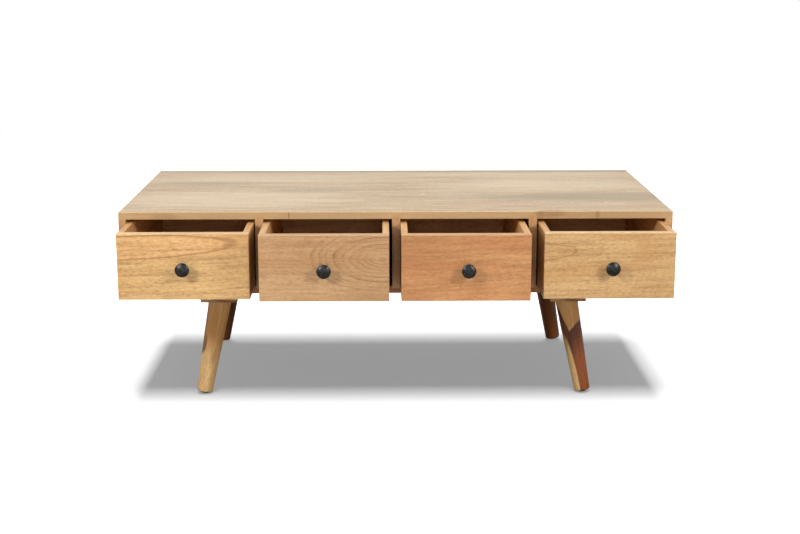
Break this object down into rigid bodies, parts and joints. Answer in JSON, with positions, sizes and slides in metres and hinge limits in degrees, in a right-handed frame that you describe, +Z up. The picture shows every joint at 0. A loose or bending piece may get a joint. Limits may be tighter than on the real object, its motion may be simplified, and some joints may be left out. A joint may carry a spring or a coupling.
{
  "type": "coffee table with drawers",
  "caption": "Low wooden coffee table on splayed, tapered round legs, with a row of drawers under the top that slide out by domed metal knobs.",
  "frame": {"origin": "on the floor, under the middle of the carcass", "axes": "+X to the right along the row of drawers, -Y out of the drawer fronts, +Z up"},
  "size_m": [1.2, 0.765, 0.43],
  "materials": {
    "top_wood": "oiled, matt",
    "frame_wood": "oiled, matt",
    "drawer_front_wood": "oiled, matt",
    "drawer_box_wood": "sanded, matt",
    "leg_wood": "oiled, matt",
    "knob_metal": "dark, satin",
    "fastener_steel": "zinc-plated",
    "insert_brass": "plain",
    "glide_plastic": "matt"
  },
  "bodies": {
    "carcass": {"top_panel": "top_wood", "bottom_panel": "frame_wood", "side_left": "frame_wood", "side_right": "frame_wood", "divider_1": "frame_wood", "divider_2": "frame_wood", "divider_3": "frame_wood", "back_panel": "frame_wood", "carcass_dowels": "drawer_box_wood", "drawer_stops": "drawer_box_wood", "leg_block_front_left": "leg_wood", "leg_front_left": "leg_wood", "foot_glide_front_left": "glide_plastic", "leg_block_front_right": "leg_wood", "leg_front_right": "leg_wood", "foot_glide_front_right": "glide_plastic", "leg_block_back_left": "leg_wood", "leg_back_left": "leg_wood", "foot_glide_back_left": "glide_plastic", "leg_block_back_right": "leg_wood", "leg_back_right": "leg_wood", "foot_glide_back_right": "glide_plastic", "leg_bolts": "fastener_steel", "leg_inserts": "insert_brass", "block_screws": "fastener_steel"},
    "drawer_1": {"drawer_1_front": "drawer_front_wood", "drawer_1_left": "drawer_box_wood", "drawer_1_right": "drawer_box_wood", "drawer_1_back": "drawer_box_wood", "drawer_1_bottom": "drawer_box_wood", "drawer_1_bottom_screws": "fastener_steel", "drawer_1_knob": "knob_metal", "drawer_1_knob_screw": "fastener_steel"},
    "drawer_2": {"drawer_2_front": "drawer_front_wood", "drawer_2_left": "drawer_box_wood", "drawer_2_right": "drawer_box_wood", "drawer_2_back": "drawer_box_wood", "drawer_2_bottom": "drawer_box_wood", "drawer_2_bottom_screws": "fastener_steel", "drawer_2_knob": "knob_metal", "drawer_2_knob_screw": "fastener_steel"},
    "drawer_3": {"drawer_3_front": "drawer_front_wood", "drawer_3_left": "drawer_box_wood", "drawer_3_right": "drawer_box_wood", "drawer_3_back": "drawer_box_wood", "drawer_3_bottom": "drawer_box_wood", "drawer_3_bottom_screws": "fastener_steel", "drawer_3_knob": "knob_metal", "drawer_3_knob_screw": "fastener_steel"},
    "drawer_4": {"drawer_4_front": "drawer_front_wood", "drawer_4_left": "drawer_box_wood", "drawer_4_right": "drawer_box_wood", "drawer_4_back": "drawer_box_wood", "drawer_4_bottom": "drawer_box_wood", "drawer_4_bottom_screws": "fastener_steel", "drawer_4_knob": "knob_metal", "drawer_4_knob_screw": "fastener_steel"}
  },
  "joints": [
    {"name": "drawer_1_slide", "type": "slide", "parent": "carcass", "child": "drawer_1", "axis": [0, -1, 0], "range_m": [-0.121, 0.259]},
    {"name": "drawer_2_slide", "type": "slide", "parent": "carcass", "child": "drawer_2", "axis": [0, -1, 0], "range_m": [-0.14, 0.24]},
    {"name": "drawer_3_slide", "type": "slide", "parent": "carcass", "child": "drawer_3", "axis": [0, -1, 0], "range_m": [-0.14, 0.24]},
    {"name": "drawer_4_slide", "type": "slide", "parent": "carcass", "child": "drawer_4", "axis": [0, -1, 0], "range_m": [-0.123, 0.257]}
  ]
}
